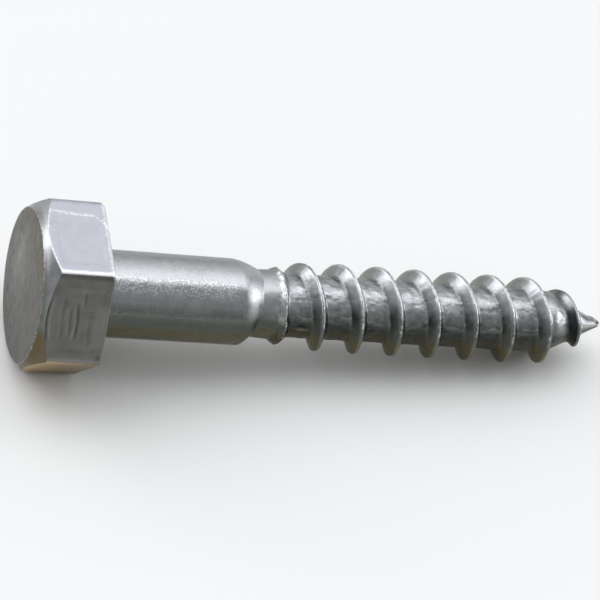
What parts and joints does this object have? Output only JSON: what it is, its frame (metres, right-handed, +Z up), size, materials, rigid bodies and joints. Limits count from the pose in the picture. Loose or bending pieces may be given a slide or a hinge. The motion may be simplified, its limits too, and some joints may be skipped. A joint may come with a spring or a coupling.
{
  "type": "lag screw",
  "caption": "Hexagon-head lag screw with a plain round shank, a thinner neck, a coarse wood thread and a cone point, lying at rest.",
  "frame": {"origin": "centre of the bearing face under the head, on the screw's axis", "axes": "+X towards the point, +Z up; the screw lies on a flat of its head and on the crest of its thread near the point, so its axis drops about 4 degrees towards the point"},
  "size_m": [0.0675, 0.019, 0.0171],
  "materials": {
    "steel": "dull zinc-coated steel, softly pitted in the thread"
  },
  "bodies": {
    "root": {"lag_screw": "steel"}
  },
  "joints": []
}
